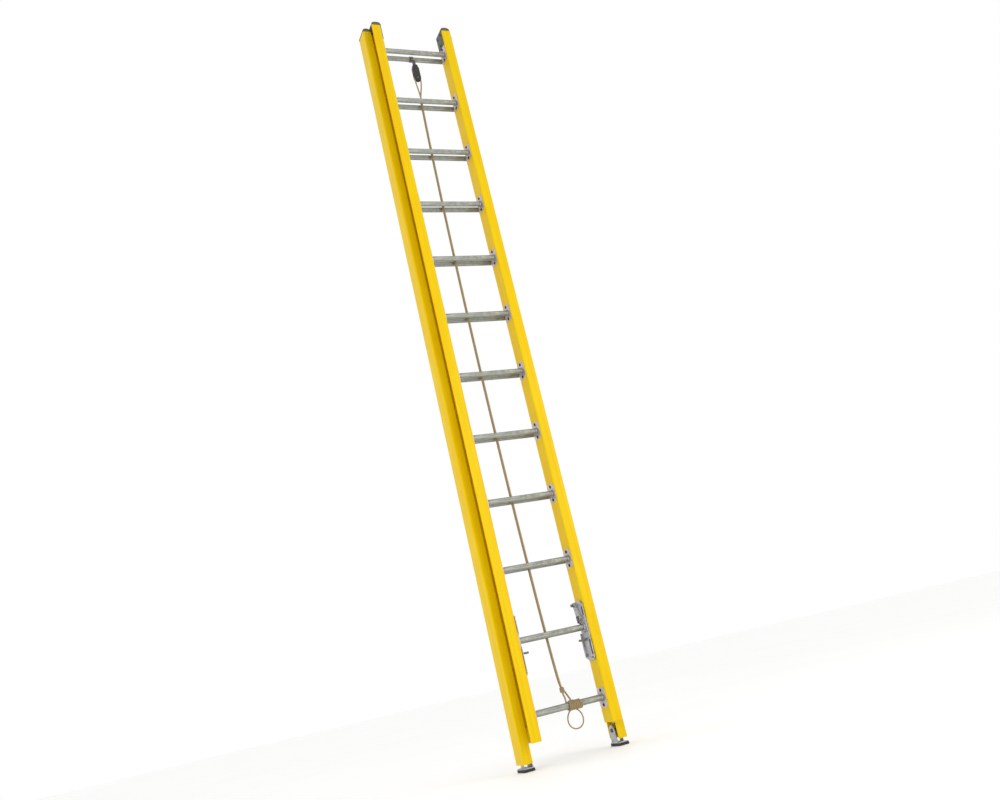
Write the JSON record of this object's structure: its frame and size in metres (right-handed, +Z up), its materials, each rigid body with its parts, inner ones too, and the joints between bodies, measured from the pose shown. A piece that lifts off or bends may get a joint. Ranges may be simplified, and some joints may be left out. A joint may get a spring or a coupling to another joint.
{
  "type": "extension ladder",
  "caption": "Two-section fibreglass extension ladder with round rungs, rope and pulley, rung locks, end caps and swivel shoes.",
  "frame": {"origin": "on the plane the shoes stand on, midway between the rails and at the middle of the ladder's depth", "axes": "+Z up along the rails, +X across to the climber's right as they face the rungs, -Y the climbing side, +Y towards the wall"},
  "size_m": [0.504, 0.14, 3.71],
  "materials": {
    "fibreglass": "yellow pultruded glass fibre, semi-gloss",
    "rung_aluminium": "mill finish, finely serrated",
    "cast_aluminium": "as cast, dull",
    "zinc_steel": "zinc plated",
    "nylon": "moulded black nylon",
    "guide_nylon": "moulded yellow nylon",
    "cap_plastic": "moulded dark grey",
    "rubber": "ribbed, dull",
    "rope": "braided tan rope, 8 mm"
  },
  "bodies": {
    "base": {"base_rail_left": "fibreglass", "base_rail_right": "fibreglass", "base_rung_01": "rung_aluminium", "base_rung_02": "rung_aluminium", "base_rung_03": "rung_aluminium", "base_rung_04": "rung_aluminium", "base_rung_05": "rung_aluminium", "base_rung_06": "rung_aluminium", "base_rung_07": "rung_aluminium", "base_rung_08": "rung_aluminium", "base_rung_09": "rung_aluminium", "base_rung_10": "rung_aluminium", "base_rung_11": "rung_aluminium", "base_rung_12": "rung_aluminium", "base_cap_left": "cap_plastic", "base_cap_right": "cap_plastic", "base_guide_left": "guide_nylon", "base_guide_right": "guide_nylon", "shoe_bracket_left": "cast_aluminium", "shoe_bracket_right": "cast_aluminium", "shoe_bolt_left": "zinc_steel", "shoe_bolt_right": "zinc_steel", "pulley_hanger": "zinc_steel", "pulley_block": "nylon", "rope_haul": "rope", "rope_hitch": "rope", "rope_lift": "rope"},
    "fly": {"fly_rail_left": "fibreglass", "fly_rail_right": "fibreglass", "fly_rung_01": "rung_aluminium", "fly_rung_02": "rung_aluminium", "fly_rung_03": "rung_aluminium", "fly_rung_04": "rung_aluminium", "fly_rung_05": "rung_aluminium", "fly_rung_06": "rung_aluminium", "fly_rung_07": "rung_aluminium", "fly_rung_08": "rung_aluminium", "fly_rung_09": "rung_aluminium", "fly_rung_10": "rung_aluminium", "fly_rung_11": "rung_aluminium", "fly_rung_12": "rung_aluminium", "fly_cap_left": "cap_plastic", "fly_cap_right": "cap_plastic", "fly_guide_left": "guide_nylon", "fly_guide_right": "guide_nylon", "lock_body_left": "cast_aluminium", "lock_body_right": "cast_aluminium", "lock_pin_left": "zinc_steel", "lock_pin_right": "zinc_steel", "rope_wrap": "rope", "rope_knot": "rope"},
    "hook_left": {"lock_hook_left": "cast_aluminium"},
    "finger_left": {"lock_finger_left": "zinc_steel"},
    "foot_left": {"shoe_left": "cast_aluminium", "shoe_pad_left": "rubber"},
    "hook_right": {"lock_hook_right": "cast_aluminium"},
    "finger_right": {"lock_finger_right": "zinc_steel"},
    "foot_right": {"shoe_right": "cast_aluminium", "shoe_pad_right": "rubber"},
    "sheave": {"pulley_sheave": "nylon"}
  },
  "joints": [
    {"name": "fly_slide", "type": "slide", "parent": "base", "child": "fly", "axis": [0, 0, 1], "range_m": [0, 2.7432], "deforming": ["rope_lift"]},
    {"name": "hook_left_pivot", "type": "hinge", "parent": "fly", "child": "hook_left", "pos_m": [-0.1576, 0.001, 0.6148], "axis": [1, 0, 0], "range_deg": [0, 40]},
    {"name": "finger_left_pivot", "type": "hinge", "parent": "hook_left", "child": "finger_left", "pos_m": [-0.1503, -0.01084, 0.55946], "axis": [1, 0, 0], "range_deg": [-60, 60]},
    {"name": "shoe_left_pivot", "type": "hinge", "parent": "base", "child": "foot_left", "pos_m": [-0.2442, 0.0275, 0.066], "axis": [1, 0, 0], "range_deg": [-25, 25]},
    {"name": "hook_right_pivot", "type": "hinge", "parent": "fly", "child": "hook_right", "pos_m": [0.1576, 0.001, 0.6148], "axis": [1, 0, 0], "range_deg": [0, 40]},
    {"name": "finger_right_pivot", "type": "hinge", "parent": "hook_right", "child": "finger_right", "pos_m": [0.1503, -0.01084, 0.55946], "axis": [1, 0, 0], "range_deg": [-60, 60]},
    {"name": "shoe_right_pivot", "type": "hinge", "parent": "base", "child": "foot_right", "pos_m": [0.2442, 0.0275, 0.066], "axis": [1, 0, 0], "range_deg": [-25, 25]},
    {"name": "sheave_spin", "type": "hinge", "parent": "base", "child": "sheave", "pos_m": [0, 0, 3.4228], "axis": [0, 1, 0], "continuous": true}
  ],
  "couplings": [
    {"joint": "sheave_spin", "follows": "fly_slide", "rad_per_m": 62.5}
  ]
}
